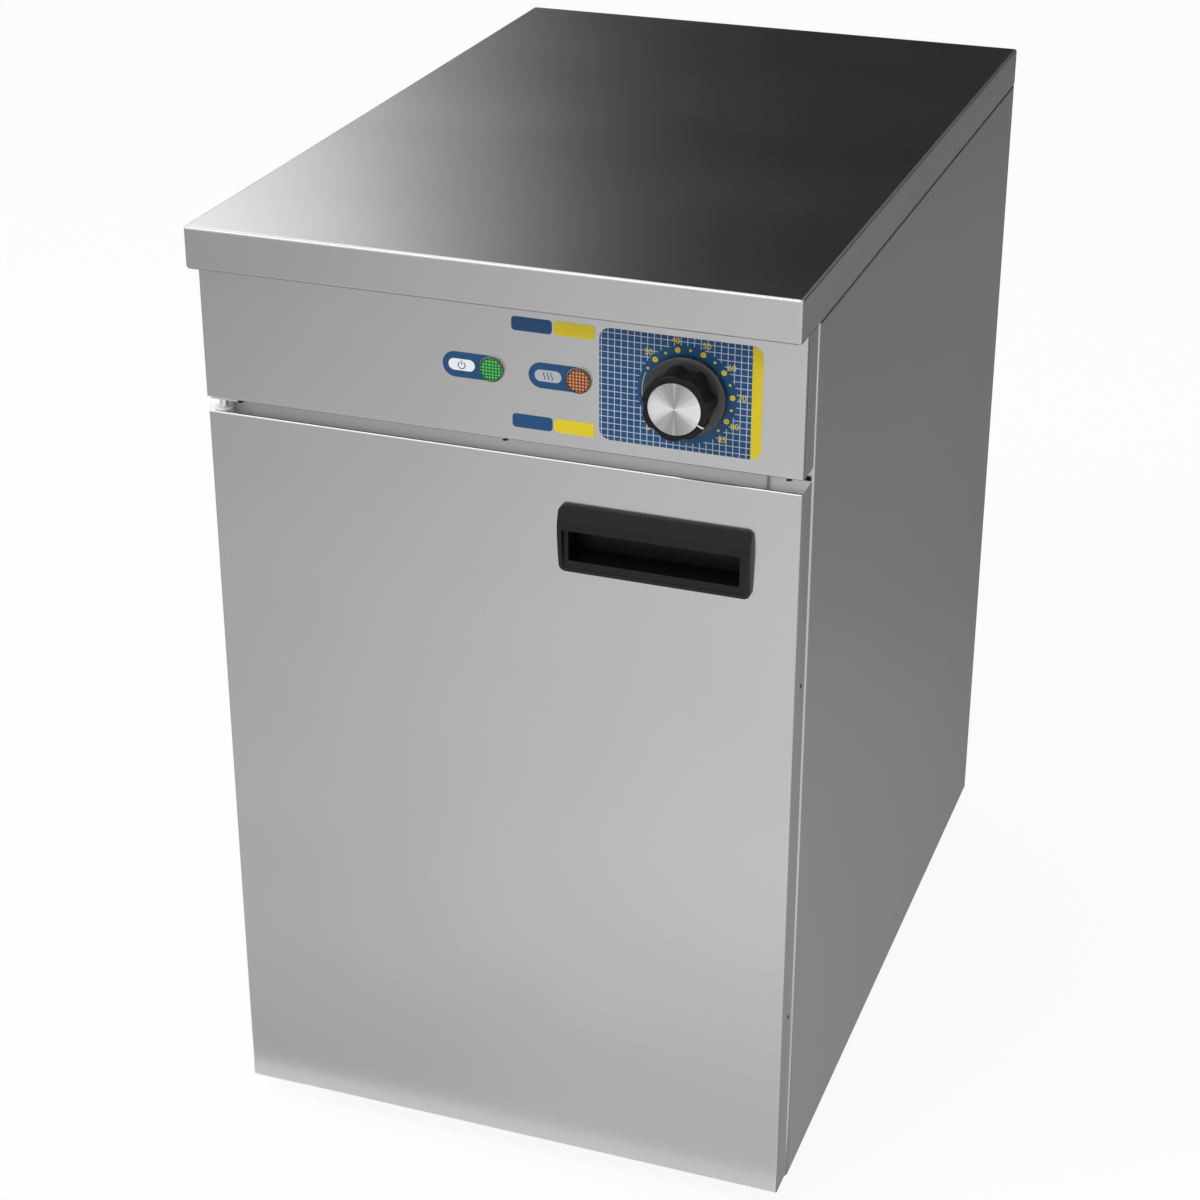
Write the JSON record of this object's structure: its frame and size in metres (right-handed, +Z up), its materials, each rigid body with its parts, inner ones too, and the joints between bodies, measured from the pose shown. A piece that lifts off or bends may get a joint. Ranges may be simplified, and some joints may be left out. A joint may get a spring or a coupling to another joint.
{
  "type": "plate warmer cabinet",
  "caption": "Tall narrow stainless cabinet with a hinged insulated door, a control panel with dial knob and lamps, and wire shelves over a covered heater.",
  "frame": {"origin": "on the floor under the middle of the object's outline", "axes": "+Z up, +X to the handle side, +Y from the door to the back"},
  "size_m": [0.4, 0.6364, 0.675],
  "materials": {
    "satin_stainless": "satin brushed stainless sheet",
    "inner_stainless": "bright rolled stainless sheet",
    "zinc_sheet": "zinc coated sheet",
    "board": "bare particle board",
    "foam": "closed-cell foam strip",
    "mineral_wool": "pressed mineral wool",
    "shelf_chrome": "bright plated wire",
    "element_sheath": "heat-darkened alloy sheath",
    "plated_steel": "zinc plated",
    "copper_tube": "drawn copper",
    "white_nylon": "natural nylon",
    "phenolic": "moulded phenolic",
    "lead_sleeve": "glass-fibre sleeve",
    "black_nylon": "moulded nylon",
    "label_film": "printed polyester film",
    "lamp_shell": "clear polycarbonate bezel",
    "green_lens": "prismatic polycarbonate",
    "amber_lens": "prismatic polycarbonate",
    "knob_black": "moulded phenolic, satin",
    "spun_aluminium": "spun concentric brushing",
    "handle_black": "fine grained ABS",
    "door_rubber": "silicone rubber",
    "foot_rubber": "moulded rubber",
    "magnet": "magnet strip in a plastic case"
  },
  "bodies": {
    "cabinet": {"worktop": "satin_stainless", "side_panel_left": "satin_stainless", "side_panel_right": "satin_stainless", "control_panel": "satin_stainless", "liner_left": "inner_stainless", "liner_right": "inner_stainless", "liner_back": "inner_stainless", "liner_ceiling": "inner_stainless", "liner_floor": "inner_stainless", "element_guard": "inner_stainless", "shelf_runners": "inner_stainless", "back_panel": "zinc_sheet", "base_panel": "zinc_sheet", "compartment_floor": "zinc_sheet", "front_top_rail": "zinc_sheet", "front_bottom_rail": "zinc_sheet", "rear_top_rail": "zinc_sheet", "panel_brackets": "zinc_sheet", "worktop_board": "board", "worktop_gasket": "foam", "insulation_sides": "mineral_wool", "insulation_back": "mineral_wool", "insulation_top": "mineral_wool", "insulation_bottom": "mineral_wool", "wire_shelf_lower": "shelf_chrome", "wire_shelf_upper": "shelf_chrome", "heating_elements": "element_sheath", "element_flanges": "plated_steel", "element_clips": "plated_steel", "bulb_clips": "plated_steel", "hinge_bracket_top": "plated_steel", "hinge_bracket_bottom": "plated_steel", "hinge_pins": "plated_steel", "foot_bolts": "plated_steel", "back_panel_screws": "plated_steel", "thermostat_capillary": "copper_tube", "terminal_block": "white_nylon", "lamp_nuts": "white_nylon", "safety_cutout": "phenolic", "thermostat_body": "phenolic", "wiring_loom": "lead_sleeve", "cable_gland": "black_nylon", "gland_nut": "black_nylon", "control_labels": "label_film", "power_lamp_body": "lamp_shell", "heat_lamp_body": "lamp_shell", "power_lamp_lens": "green_lens", "heat_lamp_lens": "amber_lens", "feet": "foot_rubber", "magnetic_catch": "magnet"},
    "door": {"door_outer": "satin_stainless", "door_inner": "inner_stainless", "door_insulation": "mineral_wool", "door_handle": "handle_black", "door_seal": "door_rubber", "strike_plate": "plated_steel", "hinge_bushes": "white_nylon"},
    "knob": {"knob": "knob_black", "knob_cap": "spun_aluminium", "thermostat_shaft": "plated_steel"}
  },
  "joints": [
    {"name": "door_swing", "type": "hinge", "parent": "cabinet", "child": "door", "pos_m": [-0.192, -0.28435, 0.2828], "axis": [0, 0, -1], "range_deg": [0, 170]},
    {"name": "knob_turn", "type": "hinge", "parent": "cabinet", "child": "knob", "pos_m": [0.126, -0.3, 0.601], "axis": [0, 1, 0], "range_deg": [-253.4, 16.9]}
  ]
}
